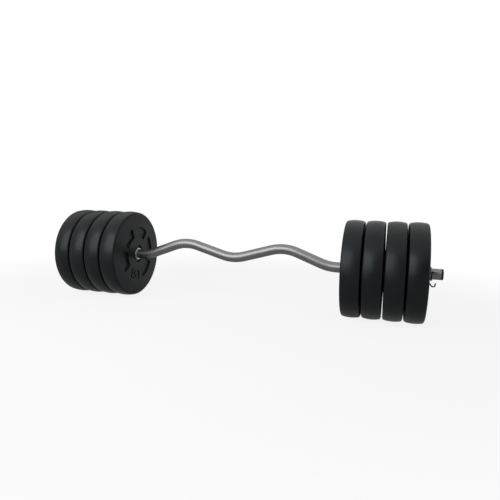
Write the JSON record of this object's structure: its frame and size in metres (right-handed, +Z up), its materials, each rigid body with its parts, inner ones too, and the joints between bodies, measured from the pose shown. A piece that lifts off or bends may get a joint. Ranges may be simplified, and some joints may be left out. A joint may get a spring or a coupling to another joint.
{
  "type": "ez curl bar",
  "caption": "Zigzag-bent steel curl bar loaded with thick round black weight plates, held by stop rings and spring wire collars, with black end plugs.",
  "frame": {"origin": "middle of the bar on the axis of its sleeves", "axes": "+X along the sleeves, +Z up, the way the two outer grips rise"},
  "size_m": [1.2, 0.277, 0.277],
  "materials": {
    "bar_steel": "satin",
    "ring_chrome": "polished",
    "screw_steel": "satin",
    "black_plug": "satin",
    "black_vinyl": "satin",
    "cement": "matte",
    "sleeve_plastic": "satin",
    "spring_wire": "satin"
  },
  "bodies": {
    "bar": {"bar_shaft": "bar_steel", "stop_ring_right": "ring_chrome", "stop_ring_screw_right": "screw_steel", "end_plug_right": "black_plug", "stop_ring_left": "ring_chrome", "stop_ring_screw_left": "screw_steel", "end_plug_left": "black_plug"},
    "right_sleeve_1": {"plate_right_1_bore_sleeve": "sleeve_plastic"},
    "right_plate_1": {"plate_right_1_shell": "black_vinyl", "plate_right_1_cement": "cement", "plate_right_1_fill_plug": "black_plug"},
    "right_sleeve_2": {"plate_right_2_bore_sleeve": "sleeve_plastic"},
    "right_plate_2": {"plate_right_2_shell": "black_vinyl", "plate_right_2_cement": "cement", "plate_right_2_fill_plug": "black_plug"},
    "right_sleeve_3": {"plate_right_3_bore_sleeve": "sleeve_plastic"},
    "right_plate_3": {"plate_right_3_shell": "black_vinyl", "plate_right_3_cement": "cement", "plate_right_3_fill_plug": "black_plug"},
    "right_sleeve_4": {"plate_right_4_bore_sleeve": "sleeve_plastic"},
    "right_plate_4": {"plate_right_4_shell": "black_vinyl", "plate_right_4_cement": "cement", "plate_right_4_fill_plug": "black_plug"},
    "right_collar": {"collar_right_coil": "spring_wire", "collar_right_inner_lever": "spring_wire"},
    "right_collar_lever": {"collar_right_outer_lever": "spring_wire"},
    "left_sleeve_1": {"plate_left_1_bore_sleeve": "sleeve_plastic"},
    "left_plate_1": {"plate_left_1_shell": "black_vinyl", "plate_left_1_cement": "cement", "plate_left_1_fill_plug": "black_plug"},
    "left_sleeve_2": {"plate_left_2_bore_sleeve": "sleeve_plastic"},
    "left_plate_2": {"plate_left_2_shell": "black_vinyl", "plate_left_2_cement": "cement", "plate_left_2_fill_plug": "black_plug"},
    "left_sleeve_3": {"plate_left_3_bore_sleeve": "sleeve_plastic"},
    "left_plate_3": {"plate_left_3_shell": "black_vinyl", "plate_left_3_cement": "cement", "plate_left_3_fill_plug": "black_plug"},
    "left_sleeve_4": {"plate_left_4_bore_sleeve": "sleeve_plastic"},
    "left_plate_4": {"plate_left_4_shell": "black_vinyl", "plate_left_4_cement": "cement", "plate_left_4_fill_plug": "black_plug"},
    "left_collar": {"collar_left_coil": "spring_wire", "collar_left_inner_lever": "spring_wire"},
    "left_collar_lever": {"collar_left_outer_lever": "spring_wire"}
  },
  "joints": [
    {"name": "right_plate_1_slide", "type": "slide", "parent": "bar", "child": "right_sleeve_1", "axis": [1, 0, 0], "range_m": [0, 0.27]},
    {"name": "right_plate_1_spin", "type": "hinge", "parent": "right_sleeve_1", "child": "right_plate_1", "pos_m": [0.36473, 0, 0], "axis": [1, 0, 0], "continuous": true},
    {"name": "right_plate_2_slide", "type": "slide", "parent": "right_sleeve_1", "child": "right_sleeve_2", "axis": [1, 0, 0], "range_m": [0, 0.215]},
    {"name": "right_plate_2_spin", "type": "hinge", "parent": "right_sleeve_2", "child": "right_plate_2", "pos_m": [0.42023, 0, 0], "axis": [1, 0, 0], "continuous": true},
    {"name": "right_plate_3_slide", "type": "slide", "parent": "right_sleeve_2", "child": "right_sleeve_3", "axis": [1, 0, 0], "range_m": [0, 0.16]},
    {"name": "right_plate_3_spin", "type": "hinge", "parent": "right_sleeve_3", "child": "right_plate_3", "pos_m": [0.47573, 0, 0], "axis": [1, 0, 0], "continuous": true},
    {"name": "right_plate_4_slide", "type": "slide", "parent": "right_sleeve_3", "child": "right_sleeve_4", "axis": [1, 0, 0], "range_m": [0, 0.105]},
    {"name": "right_plate_4_spin", "type": "hinge", "parent": "right_sleeve_4", "child": "right_plate_4", "pos_m": [0.53123, 0, 0], "axis": [1, 0, 0], "continuous": true},
    {"name": "right_collar_slide", "type": "slide", "parent": "right_sleeve_4", "child": "right_collar", "axis": [1, 0, 0], "range_m": [0, 0.05]},
    {"name": "right_collar_squeeze", "type": "hinge", "parent": "right_collar", "child": "right_collar_lever", "pos_m": [0.56698, 0, 0], "axis": [1, 0, 0], "range_deg": [0, 35], "stiffness_Nm_per_rad": 1.5, "deforming": ["collar_right_coil"]},
    {"name": "left_plate_1_slide", "type": "slide", "parent": "bar", "child": "left_sleeve_1", "axis": [-1, 0, 0], "range_m": [0, 0.27]},
    {"name": "left_plate_1_spin", "type": "hinge", "parent": "left_sleeve_1", "child": "left_plate_1", "pos_m": [-0.36473, 0, 0], "axis": [-1, 0, 0], "continuous": true},
    {"name": "left_plate_2_slide", "type": "slide", "parent": "left_sleeve_1", "child": "left_sleeve_2", "axis": [-1, 0, 0], "range_m": [0, 0.215]},
    {"name": "left_plate_2_spin", "type": "hinge", "parent": "left_sleeve_2", "child": "left_plate_2", "pos_m": [-0.42023, 0, 0], "axis": [-1, 0, 0], "continuous": true},
    {"name": "left_plate_3_slide", "type": "slide", "parent": "left_sleeve_2", "child": "left_sleeve_3", "axis": [-1, 0, 0], "range_m": [0, 0.16]},
    {"name": "left_plate_3_spin", "type": "hinge", "parent": "left_sleeve_3", "child": "left_plate_3", "pos_m": [-0.47573, 0, 0], "axis": [-1, 0, 0], "continuous": true},
    {"name": "left_plate_4_slide", "type": "slide", "parent": "left_sleeve_3", "child": "left_sleeve_4", "axis": [-1, 0, 0], "range_m": [0, 0.105]},
    {"name": "left_plate_4_spin", "type": "hinge", "parent": "left_sleeve_4", "child": "left_plate_4", "pos_m": [-0.53123, 0, 0], "axis": [-1, 0, 0], "continuous": true},
    {"name": "left_collar_slide", "type": "slide", "parent": "left_sleeve_4", "child": "left_collar", "axis": [-1, 0, 0], "range_m": [0, 0.05]},
    {"name": "left_collar_squeeze", "type": "hinge", "parent": "left_collar", "child": "left_collar_lever", "pos_m": [-0.56698, 0, 0], "axis": [-1, 0, 0], "range_deg": [0, 35], "stiffness_Nm_per_rad": 1.5, "deforming": ["collar_left_coil"]}
  ]
}
